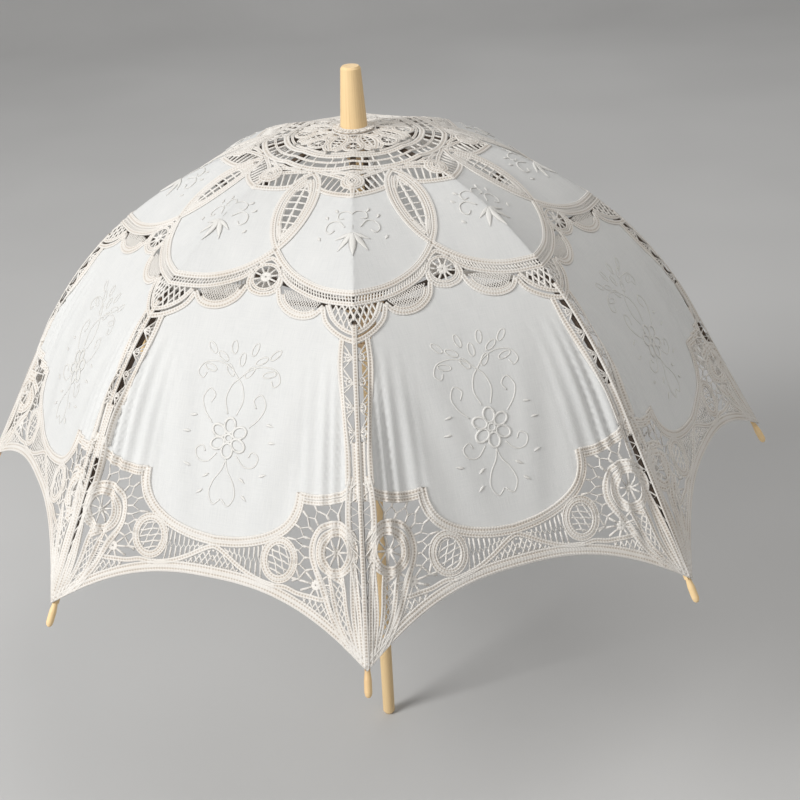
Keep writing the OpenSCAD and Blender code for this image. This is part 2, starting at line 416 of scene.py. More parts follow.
def rosette(art):
    """The lace round the ferrule, down to the upper panels."""
    art.tape(circle_line(18.5), 2.4, smooth=False)
    inner = art.tape(circle_line(63), 3.2, smooth=False)
    middle = art.tape(circle_line(73.5), 1.4, smooth=False)
    outer = art.tape(circle_line(84), 3.2, smooth=False)
    for line, beyond in ((inner, middle), (middle, outer)):
        ladder(art, line, beyond, 5.6, THICK)
    # a leaf at the middle of each gore and a spider over each rib
    leaf = art.tape([(-1, 19), (4.4, 27), (6.8, 36), (5.6, 46), (0.5, 57)], 2.4)
    hatch(art, np.vstack([leaf, [(0, 56), (0, 20)]]), 5.6, 0.15, STOUT)
    art.thread(np.array([(0.2, 22), (0.2, 44), (0.2, 56)]), STOUT)
    eye = 45.0
    medallion(art, half_width(eye), eye, 8.2, 9.6, 8)
    art.tape([(8, 24), (11, 29), (15, 32)], 2.6)
    art.tape([(4, 58), (8.6, 52), (9.6, 44), (9.2, 36), (6, 28)], 2.0)
    art.tape(circle_line(57.5, 0.1, 1.05), 1.5, smooth=False, lift=0.15)
    # fans between the outer ring and the upper panels, with a round eye over each rib
    arc = art.tape([(-3, 93), (6, 96), (17, 98.5), (28, 102), (37, 108), (43, 116), (48, 127)], 2.4)
    art.tape([(11, 119), (20, 123), (33, 125.5), (54, 126.5)], 3.2)
    art.tape([(14, 93.5), (28, 94.5), (38, 99), (44, 106), (50, 116)], 2.4, lift=0.15)
    art.tape(circle_line(90.5, 0.2, 1.05), 1.6, smooth=False, lift=0.1)
    rim = curve([(9, 113), (16, 119), (28, 122), (40, 123)])
    ladder(art, arc[5:-7], rim, 5.2, THICK)
    eye = 105.0
    x = half_width(eye) + 1
    art.tape(oval(x, eye, 9.5, 10.5), 2.4, closed=True, smooth=False, lift=0.5)
    art.tape(oval(x, eye, 5.0, 5.8), 1.9, closed=True, smooth=False, lift=0.4)
    spider(art, x, eye, 2.0, 4.5, 5, 6)


def almond(art):
    """The long eye between two upper panels."""
    line = art.tape(ALMOND, 2.4, lift=0.4)
    inner = art.tape(beside(line, 4.6)[4:-4], 2.3, smooth=False)
    art.cord(beside(line, -2.4), smooth=False, lift=0.5)
    # bars across the eye, its closed ends, and a spine
    for s in np.arange(123, 180, 8.6):
        art.thread(np.array([(-0.5, s - 0.6), (5, s), (9, s + 0.5)]), THICK)
    for ends in ([(-1, 112), (3.0, 117), (6.4, 125)], [(6.0, 170), (3.0, 179), (-1, 185)]):
        art.tape(ends, 2.2, lift=0.15)
    mid = np.linspace(106, 192, 24)
    art.thread(np.stack([0.35 + 0.3 * np.sin(mid * 0.7), mid], 1), THICK)
    art.thread(resample(inner, 20) - (2.4, 0), 0.4)


def middle_band(art):
    """The double border and the scallops under the upper panels."""
    top = art.tape(UPPER_LOW, 2.6, lift=0.45)
    low = art.tape(BAND_LOW, 2.2)
    edge = resample(top, 80)[12:]
    ladder(art, edge, low, 2.6, FIRM)
    art.cord(beside(top, -3.0), smooth=False, lift=0.5)
    art.thread(resample((resample(edge, 60) * 0.5 + resample(low, 60) * 0.5), 50), 0.5)
    art.tape([(-1, 206), (4, 208.5), (10, 214)], 2.2, lift=0.2)
    # the small scallop with its wheel, in the middle of the gore
    art.tape(SCALLOP_A, 2.4)
    x, s, rx, ry = WHEEL
    art.tape(oval(x, s, rx + 1.1, ry + 1.3), 1.7, closed=True, smooth=False, lift=0.2)
    spider(art, x, s, 5.2, rx, ry, 10, 1.0)
    # the scallop with a fine net
    line = art.tape(SCALLOP_B, 2.5, lift=0.4)
    art.tape(beside(line, -4.0)[3:-3], 1.9, smooth=False)
    fine = [(20, 236), (24, 246), (32, 252.5), (42, 255), (51, 252), (56, 244), (40, 240), (28, 236)]
    net(art, curve(fine), 1.9)
    # the scallop over the rib, with an open net
    art.tape(SCALLOP_C, 2.5, lift=0.4)
    art.tape([(63, 246), (69.5, 256.5), (78, 264), (88, 268.8), (104, 271.5)], 2.1)
    wide = np.array([(63, 246), (69, 257), (78, 264.5), (90, 269.5), (103, 271), (98, 246), (78, 245)])
    net(art, wide, 5.0, radians(80), radians(24), STOUT)


def rib_strip(art):
    """The open strip along the rib beside the lower panel, with fans of thread."""
    side = art.tape(PANEL_SIDE, 2.5, lift=0.4)
    art.tape(rib_side(np.linspace(262, TIP_START - 1, 90), 0.4), 2.0, smooth=False, lift=0.5)
    edge = beside(side, -2.3)
    for s in (291, 312, 333, 353):
        knot = rib_side([s], 2.0)[0]
        for reach in (-10, -5, 0, 5, 10):
            near = edge[np.abs(edge[:, 1] - s - reach).argmin()]
            art.thread(np.array([knot, near]), FIRM)
        ring = edge[np.abs(edge[:, 1] - s).argmin()] * 0.45 + knot * 0.55
        art.thread(oval(ring[0], ring[1], 2.2, 3.2, n=14), 0.7, closed=True)
    # lower down the strip closes into a plain tape
    art.tape([(112.2, 360), (116.0, 379), (118.6, 394), (120.3, 408)], 2.5, lift=0.25)
    art.cord(beside(side, -3.2)[58:], 0.6, smooth=False, lift=0.45)


def hem_band(art):
    """The hem's two tapes with a cord between them."""
    art.tape(hem_line(2.4), 2.4, smooth=False, lift=0.3)
    art.tape(hem_line(7.0), 2.3, smooth=False, lift=0.25)
    art.cord(hem_line(0.2), 0.8, smooth=False, lift=0.2)
    art.cord(hem_line(4.7), 0.6, smooth=False, lift=0.6)


def lower_eyes(art):
    """The round eye and the pear-shaped eye with its long leaf."""
    x, s, rx, ry = RING_A
    art.tape(oval(x, s, rx + 2.0, ry + 2.0), 2.0, closed=True, smooth=False, lift=0.5)
    art.tape(oval(x, s, rx + 5.3, ry + 5.3, n=48), 1.7, closed=True, smooth=False, lift=0.3)
    eye = oval(x, s, rx + 0.6, ry + 0.6)
    hatch(art, eye, 5.2, 0.25, 0.85, 0.5)
    hatch(art, eye, 6.2, 1.2, 0.8, 0.5)
    x, s, rx, ry = RING_B
    art.tape(oval(x, s, rx + 2.2, ry + 2.2, n=52), 2.3, closed=True, smooth=False, lift=0.55)
    edge = art.tape(RING_B_EDGE, 2.5, lift=0.4)
    art.cord(beside(edge, -2.6), 0.6, smooth=False, lift=0.5)
    art.tape(oval(x, s, rx + 6.4, ry + 6.2, n=56), 2.2, closed=True, smooth=False, lift=0.35)
    spider(art, x, s, 2.6, rx + 1, ry + 1, 9, STOUT, 0.2)
    # the leaf under it
    left = art.tape([(103, 466), (109, 478), (113.5, 492), (119, 506), (128, 519.5), (141, 538)], 2.1)
    right = art.tape([(117, 467), (121, 480), (124.5, 495), (129, 509), (135.5, 523), (143, 538)], 2.1)
    body = np.vstack([left[5:-4], right[5:-4][::-1]])
    net(art, body, 4.0, radians(72), radians(30), 0.8)
    art.tape([(108, 469.5), (113, 473), (120, 476)], 2.4)
    gap = np.vstack([beside(left, 1)[4:], RING_B_EDGE[-1:], beside(edge, 1)[::-1][:34]])
    hatch(art, gap, 1.9, 0.2, 0.5)


def rib_edge(art):
    """The tape beside the rib from the panels to the hem's point, with holes along the rib."""
    s = np.array([388, 400, 420, 440, 460, 480, 500, 520, 546])
    inset = np.array([6.5, 9.0, 10.4, 9.8, 8.2, 6.6, 5.2, 4.2, 2.6])
    line = art.tape(np.stack([half_width(s) - inset, s], 1), 2.4, lift=0.4)
    art.tape([(125, 452), (126.5, 466), (128.5, 482), (131.5, 500), (136, 516), (142, 533)], 2.2, lift=0.3)
    # a zigzag of thread between this tape and the rib
    corners = 19
    a = resample(line[3:-26], corners)
    b = resample(rib_side(np.linspace(392, 500, 30), 1.8), corners)
    art.thread(np.array([a[i] if i % 2 else b[i] for i in range(corners)]), 0.8)


def dark_web(art):
    """The web of thick bars between the panel, the two eyes and the hem."""
    left = [(107, 402), (99, 411), (90, 415.5), (80, 417), (75, 424), (69.5, 434), (63, 445), (70, 451),
            (74.5, 459), (75, 470), (74, 481)]
    right = [(113, 428), (106, 428), (99, 428.5), (92, 432), (88.5, 436.5), (86.5, 441), (86, 446.5),
             (86, 452), (87.5, 459), (90.5, 466), (93, 472)]
    brides(art, left, right, 8, BAR)
    x, s = SPIDER
    spider(art, x, s, 4.6, 15, 12, 9, BAR, 0.15)
    for foot in ((70.5, 478.5), (75.5, 468)):
        art.thread(np.array([(80.9, 479), foot]), BAR)


def lower_border(art):
    """The deep lace border between the lower panel and the hem."""
    nick = art.tape(PANEL_NICK, 2.5, lift=0.4)
    art.tape(beside(nick, -4.6)[1:-2], 2.3, smooth=False)
    low = art.tape(PANEL_LOW, 2.6, lift=0.45)
    art.tape(beside(low, -4.6)[1:], 2.1, smooth=False)
    art.cord(beside(low, -2.4), 0.6, smooth=False, lift=0.6)
    # the tape from the middle of the gore to the spider, and the nets beside it
    art.tape([(-3, 464.2), (5, 466.5), (14, 471.5), (24, 477.5), (36, 483), (48, 486.5), (60, 488)], 2.3)
    art.tape([(56, 488.5), (68, 487.5), (80, 490.5), (92, 491.5), (101, 492), (109, 491)], 2.3)
    upper = [(10, 465), (19, 463.5), (28, 461.5), (37, 459), (44, 456.5)]
    lower = [(12, 468.5), (20, 473), (28, 477.5), (38, 482), (48, 485)]
    brides(art, upper, lower, 8, STOUT, 0.1)
    middle = curve([(0, 468), (8, 470.5), (18, 477), (30, 483.5)])
    corner = curve([(86, 493), (98, 494), (109, 497), (115, 509), (124, 523)])
    for top, hem_part in ((middle, hem_line(9, 0.0, 0.22, 10)), (corner, hem_line(9, 0.58, 0.86, 20))):
        net(art, np.vstack([top, hem_part[::-1]]), 4.4, half=0.85)


def stem(art, line, closed=False):
    """A flat stem of embroidery thread."""
    art.sweep(line, CORD, 0.6, 0.28, 0.12, closed)


def embroidery(art):
    """Raised satin and cord work on the cotton."""
    # leaves over the rib in the upper panel
    foot = 171.0
    x = half_width(foot)
    for turn, long, wide in ((0.36, 29, 3.9), (-0.28, 23, 2.9), (-0.85, 16, 2.1)):
        art.petal(x - 0.4, foot, long, wide, turn, 0.3)
    art.cord([(x + 1, 172), (x - 3, 160), (x - 2, 150), (x + 1, 146)], 0.55)
    art.cord([(x - 9, 166), (x - 17, 160), (x - 24, 163), (x - 25, 171), (x - 20, 175), (x - 17, 171)], 0.55)
    art.cord([(x - 4, 152), (x - 12, 147), (x - 19, 150), (x - 18, 157), (x - 13, 156)], 0.5)
    for dx, s in ((-29, 180), (-30, 155), (-24, 146)):
        art.petal(x + dx, s, 5, 1.5, 0.7, 0.3)
    # flower of six looped petals in the lower panel
    s = 373.0
    petals = 6
    out = 10.8
    for k in range(petals):
        a = radians(360 / petals * k)
        loop = oval(out * sin(a), s - out * cos(a), 4.9, 6.4, a, 22)
        art.sweep(loop, CORD, 1.15, 0.6, 0.2, True)
    art.sweep(oval(0, s, 3.2, 3.2, n=16), CORD, 1.1, 0.6, 0.2, True)
    # scrolls about the flower
    for line in ([(0, 391), (2.5, 400), (9, 410), (12, 421), (7, 430), (0.5, 425)],
                 [(9, 387), (17, 395), (26, 394), (29, 386), (23, 382), (20, 387)],
                 [(17, 362), (25, 353), (29, 342), (24, 333), (18, 338), (21, 345)],
                 [(4, 353), (8, 340), (5, 328), (0, 322)]):
        stem(art, curve(line, 1.5))
    for px, s, turn in ((14, 405, 1.0), (18, 419, 0.9), (32, 401, 1.9), (36, 372, 1.6), (32, 357, 1.4)):
        art.petal(px, s, 7, 1.3, turn, 0.15)
    # spray of open leaves above it
    for px, s, turn in ((7, 318, 0.6), (15, 306, 0.95), (9, 298, 0.2), (24, 316, 1.25), (27, 300, 0.7),
                        (0, 308, 0)):
        stem(art, oval(px + 3.5 * sin(turn), s - 3.5 * cos(turn), 2.6, 6.0, turn, 16), closed=True)
    stem(art, curve([(0, 322), (8, 314), (20, 309), (33, 311), (38, 320), (33, 325), (30, 320)], 1.5))


PATTERN = (rosette, almond, middle_band, rib_strip, lower_border, lower_eyes, dark_web, rib_edge, hem_band)


# ---------------------------------------------------------------- from flat to cover
def add_object(name, data):
    """Puts a mesh, light or camera in the scene."""
    obj = bpy.data.objects.new(name, data)
    bpy.context.scene.collection.objects.link(obj)
    return obj


def set_thread_uvs(mesh, uvs):
    """Gives each corner of a mesh the UV of its point, from millimetres."""
    corner = np.empty(len(mesh.loops), int)
    mesh.loops.foreach_get("vertex_index", corner)
    layer = mesh.uv_layers.new(name="Thread")
    layer.data.foreach_set("uv", (uvs[corner] * UV_PER_MM).astype(np.float32).ravel())


def cotton_outlines():
    """The two cotton panels of a half gore as closed outlines, with their edges under the tapes."""
    top = np.vstack([curve([(12, 123), (30, 125.5), (58, 127)]),
                     [(half_width(150) + 3, 150)],
                     rib_side(np.linspace(160, 235, 8), -4),
                     curve(UPPER_LOW)[::-1],
                     curve(ALMOND)[::-1][2:-14]])
    low = np.vstack([[(-4, 249.5)],
                     curve(SCALLOP_A)[::-1][1:-3],
                     curve(SCALLOP_B)[3:-2],
                     curve(SCALLOP_C)[2:14],
                     curve(PANEL_SIDE)[3:],
                     curve(PANEL_NICK)[3:],
                     curve(PANEL_LOW)[1:],
                     [(-4, 456)]])
    return [top, low]


def triangulated(outline, gap=3.2, margin=1.5):
    """A flat mesh that fills an outline, with points inside it so that it can bend."""
    low, high = outline.min(0), outline.max(0)
    grid = []
    for row, y in enumerate(np.arange(low[1] + gap / 2, high[1], gap)):
        for k0, k1 in inside_runs(outline, np.array([0.0, y]), np.array([1.0, 0.0])):
            xs = np.arange(low[0] + (row % 2) * gap / 2, high[0], gap)
            grid += [(x, y) for x in xs if k0 + margin < x < k1 - margin]
    points = [Vector(p) for p in np.vstack([outline, grid])]
    n = len(outline)
    edges = [(i, (i + 1) % n) for i in range(n)]
    verts, _, faces, *_ = delaunay_2d_cdt(points, edges, [], 1, 1e-4)
    return np.array([(v.x, v.y, 0.0) for v in verts]), [tuple(f) for f in faces]


def flat_mesh(name, verts, faces, uvs, slots):
    """A bmesh in (share, s, h), cut at the middle of the gore and at the rib."""
    mesh = bpy.data.meshes.new(name)
    share = verts[:, 0] / half_width(np.maximum(verts[:, 1], LEAST_S)) * FULL_SHARE
    mesh.from_pydata(np.c_[share, verts[:, 1:]].tolist(), [], [list(f) for f in faces])
    set_thread_uvs(mesh, uvs)
    mesh.polygons.foreach_set("material_index", np.array(slots, int))
    bm = bmesh.new()
    bm.from_mesh(mesh)
    bpy.data.meshes.remove(mesh)
    for x, keep_above in ((0.0, True), (FULL_SHARE, False)):
        cut(bm, (x, 0, 0), (1, 0, 0), keep_above)
    return bm


def cut(bm, at, normal, keep_above):
    """Cuts a bmesh at a plane and keeps one side of it."""
    bmesh.ops.bisect_plane(bm, geom=bm.verts[:] + bm.edges[:] + bm.faces[:], dist=1e-5, plane_co=at,
                           plane_no=normal, clear_inner=keep_above, clear_outer=not keep_above)


def arrays(bm):
    """Points, faces, corner UVs and material slots of a bmesh."""
    layer = bm.loops.layers.uv.active
    bm.verts.ensure_lookup_table()
    verts = np.array([v.co for v in bm.verts]).reshape(-1, 3)
    faces = [[v.index for v in f.verts] for f in bm.faces]
    uvs = np.array([loop[layer].uv for f in bm.faces for loop in f.loops])
    return verts, faces, uvs, [f.material_index for f in bm.faces]


def stretch_between(flat, s_range):
    """The part of a flat bmesh between two lengths, as arrays."""
    bm = flat.copy()
    low, high = s_range
    cut(bm, (0, low, 0), (0, 1, 0), True)
    cut(bm, (0, high, 0), (0, 1, 0), False)
    bm.verts.index_update()
    result = arrays(bm)
    bm.free()
    return result


def azimuth(k):
    """Direction of rib k from the axis."""
    return radians(360 / RIBS * (k - 1) - 90)


def sector(name, part, k, materials):
    """The mesh of the cover over rib k: two mirrored half gores, welded along the rib."""
    verts, faces, uvs, slots = part
    share = verts * (1 / FULL_SHARE, 1, 1)
    a = azimuth(k)
    turn = np.array([[cos(a), -sin(a), 0], [sin(a), cos(a), 0], [0, 0, 1]])
    sides = []
    for side, gore in ((1, (k - 1) % RIBS), (-1, k % RIBS)):
        sides.append(place(share, side, gore) @ turn.T * MM)
    n = len(verts)
    points = np.vstack(sides)
    all_faces = faces + [[i + n for i in f[::-1]] for f in faces]
    flipped, start = [], 0
    for f in faces:
        flipped.append(uvs[start:start + len(f)][::-1])
        start += len(f)
    mesh = bpy.data.meshes.new(name)
    mesh.from_pydata(points.tolist(), [], all_faces)
    layer = mesh.uv_layers.new(name="Thread")
    layer.data.foreach_set("uv", np.vstack([uvs] + flipped).astype(np.float32).ravel())
    for material in materials:
        mesh.materials.append(material)
    mesh.polygons.foreach_set("material_index", np.array(slots + slots, int))
    bm = bmesh.new()
    bm.from_mesh(mesh)
    bmesh.ops.remove_doubles(bm, verts=bm.verts, dist=2e-6)
    bmesh.ops.recalc_face_normals(bm, faces=bm.faces)
    bm.to_mesh(mesh)
    bm.free()
    mesh.shade_smooth()
    return mesh


def strips(name, whole, across):
    """Cuts a mesh into the ridge over its rib and the two sides beside it.

    Each comes as an object with the point that it folds towards.
    """
    across = Vector(across)
    out = []
    for ending, low, high in (("", -RIDGE, RIDGE), ("_left", None, -RIDGE), ("_right", RIDGE, None)):
        bm = bmesh.new()
        bm.from_mesh(whole)
        for edge, beyond in ((low, -1), (high, 1)):
            if edge is None:
                continue
            everything = bm.verts[:] + bm.edges[:] + bm.faces[:]
            bmesh.ops.bisect_plane(bm, geom=everything, dist=1e-7, plane_co=across * edge * MM,
                                   plane_no=across * beyond, clear_outer=True)
        mesh = whole.copy()
        mesh.name = name + ending
        bm.to_mesh(mesh)
        bm.free()
        mesh.shade_smooth()
        fold_at = {"": 0.0, "_left": -RIDGE, "_right": RIDGE}[ending]
        out.append((add_object(name + ending, mesh), tuple(across * fold_at * MM)))
    bpy.data.meshes.remove(whole)
    return out


# ---------------------------------------------------------------- materials
def new_material(name):
    """A material with its nodes, its links and its shader."""
    m = bpy.data.materials.new(name)
    m.use_nodes = True
    nodes, links = m.node_tree.nodes, m.node_tree.links
    return m, nodes, links, nodes["Principled BSDF"]


def ramp(nodes, links, source, stops):
    """A colour ramp on a value."""
    r = nodes.new("ShaderNodeValToRGB")
    while len(r.color_ramp.elements) < len(stops):
        r.color_ramp.elements.new(0.5)
    for e, (at, colour) in zip(r.color_ramp.elements, stops):
        e.position = at
        e.color = (*colour, 1)
    links.new(source, r.inputs["Fac"])
    return r.outputs["Color"]


def noise(nodes, links, vector, scale, detail=3.0, stretch=(1, 1, 1)):
    """Noise on stretched coordinates."""
    m = nodes.new("ShaderNodeMapping")
    m.inputs["Scale"].default_value = stretch
    links.new(vector, m.inputs["Vector"])
    n = nodes.new("ShaderNodeTexNoise")
    n.inputs["Scale"].default_value = scale
    n.inputs["Detail"].default_value = detail
    links.new(m.outputs["Vector"], n.inputs["Vector"])
    return n.outputs["Fac"]


def bump(nodes, links, height, strength, distance):
    """A normal from a height, with its distance in metres."""
    b = nodes.new("ShaderNodeBump")
    b.inputs["Strength"].default_value = strength
    b.inputs["Distance"].default_value = distance
    links.new(height, b.inputs["Height"])
    return b.outputs["Normal"]


def calc(nodes, links, operation, a, b=None, c=None):
    """A math node on values or sockets."""
    m = nodes.new("ShaderNodeMath")
    m.operation = operation
    for i, value in enumerate((a, b, c)):
        if isinstance(value, (int, float)):
            m.inputs[i].default_value = value
        elif value is not None:
            links.new(value, m.inputs[i])
    return m.outputs[0]


def set_cloth(shader, roughness, sheen):
    """The dull gloss of cloth."""
    shader.inputs["Roughness"].default_value = roughness
    shader.inputs["Sheen Weight"].default_value = sheen
    shader.inputs["Specular IOR Level"].default_value = 0.2


def cotton_material():
    """Plain woven cotton, with uneven threads and a cloudy tone."""
    m, nodes, links, shader = new_material("cotton")
    uv = nodes.new("ShaderNodeTexCoord").outputs["UV"]
    warp = noise(nodes, links, uv, 80, 2, (1.5, 0.07, 1))
    weft = noise(nodes, links, uv, 80, 2, (0.09, 1.5, 1))
    fine = noise(nodes, links, uv, 500, 1)
    weave = calc(nodes, links, "MULTIPLY_ADD", weft, 0.7, warp)
    cloudy = calc(nodes, links, "MULTIPLY_ADD", noise(nodes, links, uv, 3, 3, (1.4, 0.5, 1)), 0.5, fine)
    tone = calc(nodes, links, "SUBTRACT", calc(nodes, links, "MULTIPLY_ADD", weave, 0.8, cloudy), 0.93)
    colour = ramp(nodes, links, tone, [(0.0, (0.70, 0.71, 0.715)), (0.5, (0.79, 0.798, 0.798)),
                                       (1.0, (0.86, 0.862, 0.855))])
    links.new(colour, shader.inputs["Base Color"])
    set_cloth(shader, 0.85, 0.12)
    normal = bump(nodes, links, tone, 0.4, 0.0004)
    links.new(normal, shader.inputs["Normal"])
    see_light_through(nodes, links, shader, (0.78, 0.77, 0.74), 0.18, normal)
    return m


def waves(nodes, links, along, pitch):
    """Waves along a UV, with their pitch in millimetres."""
    return calc(nodes, links, "SINE", calc(nodes, links, "MULTIPLY", along, MM_PER_UV * 2 * pi / pitch))


def see_light_through(nodes, links, shader, colour, share, normal):
    """Lets a share of the light through thin cloth."""
    thin = nodes.new("ShaderNodeBsdfTranslucent")
    thin.inputs["Color"].default_value = (*colour, 1)
    links.new(normal, thin.inputs["Normal"])
    mix = nodes.new("ShaderNodeMixShader")
    mix.inputs["Fac"].default_value = share
    links.new(shader.outputs[0], mix.inputs[1])
    links.new(thin.outputs[0], mix.inputs[2])
    links.new(mix.outputs[0], nodes["Material Output"].inputs["Surface"])


def lace_material():
    """Woven tape with a row of soft holes along its middle, painted as dark dots that stand for shade seen
    through them, and plain thread.
    """
    hole_pitch = 2.6
    row_half = 0.26
    m, nodes, links, shader = new_material("tape_lace")
    coord = nodes.new("ShaderNodeTexCoord").outputs
    uv = nodes.new("ShaderNodeSeparateXYZ")
    links.new(coord["UV"], uv.inputs[0])
    across = calc(nodes, links, "ABSOLUTE", calc(nodes, links, "MULTIPLY", uv.outputs["Y"], MM_PER_UV))
    steps = waves(nodes, links, uv.outputs["X"], hole_pitch)
    in_row = calc(nodes, links, "LESS_THAN", across, row_half)
    # the holes are painted dark: painted shade seen through them, not real openings
    holes = calc(nodes, links, "MULTIPLY", in_row, calc(nodes, links, "GREATER_THAN", steps, -0.1))
    patch = noise(nodes, links, coord["Object"], 22, 3)
    # the tape is painted darker towards its middle than at its raised edges: painted shade in the groove
    # between them
    edge = calc(nodes, links, "MULTIPLY_ADD", calc(nodes, links, "MINIMUM", across, 1.0), 0.35, patch)
    tone = calc(nodes, links, "MULTIPLY_ADD", holes, -0.42, edge)
    colour = ramp(nodes, links, tone, [(0.05, (0.56, 0.49, 0.42)), (0.42, (0.81, 0.76, 0.70)),
                                       (0.65, (0.865, 0.83, 0.785)), (0.95, (0.90, 0.875, 0.84))])
    links.new(colour, shader.inputs["Base Color"])
    set_cloth(shader, 0.8, 0.15)
    relief = calc(nodes, links, "MULTIPLY_ADD", holes, -1.2, steps)
    normal = bump(nodes, links, relief, 0.5, 0.0002)
    links.new(normal, shader.inputs["Normal"])
    see_light_through(nodes, links, shader, (0.80, 0.75, 0.69), 0.15, normal)
    return m


def silk_material():
    """Embroidery thread, with the ridges of its twist."""
    twist = 1.1
    m, nodes, links, shader = new_material("embroidery_silk")
    coord = nodes.new("ShaderNodeTexCoord").outputs
    uv = nodes.new("ShaderNodeSeparateXYZ")
    links.new(coord["UV"], uv.inputs[0])
    steps = waves(nodes, links, uv.outputs["X"], twist)
    patch = noise(nodes, links, coord["Object"], 40, 2)
    colour = ramp(nodes, links, patch, [(0.35, (0.90, 0.885, 0.85)), (0.65, (0.94, 0.93, 0.905))])
    links.new(colour, shader.inputs["Base Color"])
    shader.inputs["Roughness"].default_value = 0.5
    shader.inputs["Sheen Weight"].default_value = 0.3
    normal = bump(nodes, links, steps, 0.5, 0.0002)
    links.new(normal, shader.inputs["Normal"])
    see_light_through(nodes, links, shader, (0.78, 0.77, 0.73), 0.18, normal)
    return m


def set_roughness(nodes, links, source, low, high):
    """Roughness that follows a pattern."""
    rough = nodes.new("ShaderNodeMapRange")
    rough.inputs["To Min"].default_value = low
    rough.inputs["To Max"].default_value = high
    links.new(source, rough.inputs["Value"])
    links.new(rough.outputs[0], nodes["Principled BSDF"].inputs["Roughness"])


def wood_material(name, light, dark, tip=None):
    """Turned wood with its grain up and down. With a tip's two colours, it has them below TIP_TOP."""
    m, nodes, links, shader = new_material(name)
    where = nodes.new("ShaderNodeTexCoord").outputs["Object"]
    parts = nodes.new("ShaderNodeSeparateXYZ")
    links.new(where, parts.inputs[0])
    angle = nodes.new("ShaderNodeMath")
    angle.operation = "ARCTAN2"
    links.new(parts.outputs["Y"], angle.inputs[0])
    links.new(parts.outputs["X"], angle.inputs[1])
    grain = nodes.new("ShaderNodeCombineXYZ")
    links.new(angle.outputs[0], grain.inputs["X"])
    links.new(parts.outputs["Z"], grain.inputs["Z"])
    streak = noise(nodes, links, grain.outputs[0], 10, 5, (1.6, 1, 0.9))
    pore = noise(nodes, links, where, 900, 2, (1, 1, 0.12))
    colour = ramp(nodes, links, streak, [(0.3, dark), (0.5, light), (0.72, tuple(0.92 * c for c in light))])
    if tip:
        # above TIP_TOP the wood takes its dark colours, the painted shade of a rib under the cover; below it
        # the pale tip colours
        painted_shade_above_tip = nodes.new("ShaderNodeMapRange")
        painted_shade_above_tip.inputs["From Min"].default_value = TIP_TOP - TIP_BLEND
        painted_shade_above_tip.inputs["From Max"].default_value = TIP_TOP + TIP_BLEND
        links.new(parts.outputs["Z"], painted_shade_above_tip.inputs["Value"])
        mix = nodes.new("ShaderNodeMix")
        mix.data_type = "RGBA"
        links.new(painted_shade_above_tip.outputs[0], mix.inputs[0])
        links.new(ramp(nodes, links, streak, [(0.3, tip[1]), (0.5, tip[0])]), mix.inputs[6])
        links.new(colour, mix.inputs[7])
        colour = mix.outputs[2]
    links.new(colour, shader.inputs["Base Color"])
    set_roughness(nodes, links, streak, 0.38, 0.6)
    links.new(bump(nodes, links, pore, 0.25, 0.0003), shader.inputs["Normal"])
    return m


def metal_material():
    """Drawn wire and sheet metal, a little dull."""
    m, nodes, links, shader = new_material("drawn_wire")
    where = nodes.new("ShaderNodeTexCoord").outputs["Object"]
    dull = noise(nodes, links, where, 300, 4)
    colour = ramp(nodes, links, dull, [(0.35, (0.42, 0.40, 0.37)), (0.65, (0.68, 0.67, 0.64))])
    links.new(colour, shader.inputs["Base Color"])
    shader.inputs["Metallic"].default_value = 1.0
    set_roughness(nodes, links, dull, 0.25, 0.5)
    return m


cotton = cotton_material()
lace = lace_material()
silk = silk_material()
PALE = ((0.90, 0.66, 0.36), (0.72, 0.49, 0.25))
pale_wood = wood_material("pale_wood", *PALE)
notch_wood = wood_material("notch_wood", (0.66, 0.47, 0.28), (0.50, 0.34, 0.19))
# Ribs and stretchers are painted near-black: painted shade where they lie under the cover; their tips keep
# the pale wood
shaded_rib_wood = wood_material("shaded_rib_wood", (0.085, 0.056, 0.036), (0.052, 0.034, 0.022), tip=PALE)
wire = metal_material()


# ---------------------------------------------------------------- the cover's pieces
def cut_size(cloth, over_rib):
    """Width, length and area of a piece of cloth as it was cut, in metres."""
    layer = cloth.data.uv_layers[0].data
    flat = np.empty(len(layer) * 2)
    layer.foreach_get("uv", flat)
    flat = flat.reshape(-1, 2) * MM_PER_UV * MM
    width, long = flat.max(0) - flat.min(0)
    if over_rib:
        width = 2 * RIDGE / cos(HALF) * MM
    area = sum(p.area for p in cloth.data.polygons)
    # a strip can't have more than its width by its length
    return float(width), float(long), min(area, 0.999 * float(width) * float(long))


def flat_lace():
    """The lace and embroidery of a half gore, in the flat."""
    art = Drawing()
    for draw in PATTERN:
        draw(art)
    art.slot = 1
    embroidery(art)
    flat = np.vstack(art.verts)
    share = np.abs(flat[:, 0]) / half_width(np.maximum(flat[:, 1], LEAST_S))
    flat[:, 1] = np.minimum(flat[:, 1], hem(np.minimum(share, 1)) + HEM_PROUD)
    return flat_mesh("lace", flat, art.faces, np.vstack(art.uvs), art.slots)


def flat_cotton():
    """The cotton of a half gore, in the flat."""
    all_verts, all_faces, count = [], [], 0
    for outline in cotton_outlines():
        verts, faces = triangulated(outline)
        all_verts.append(verts)
        all_faces += [tuple(i + count for i in f) for f in faces]
        count += len(verts)
    all_verts = np.vstack(all_verts)
    return flat_mesh("cotton", all_verts, all_faces, all_verts[:, :2], [0] * len(all_faces))


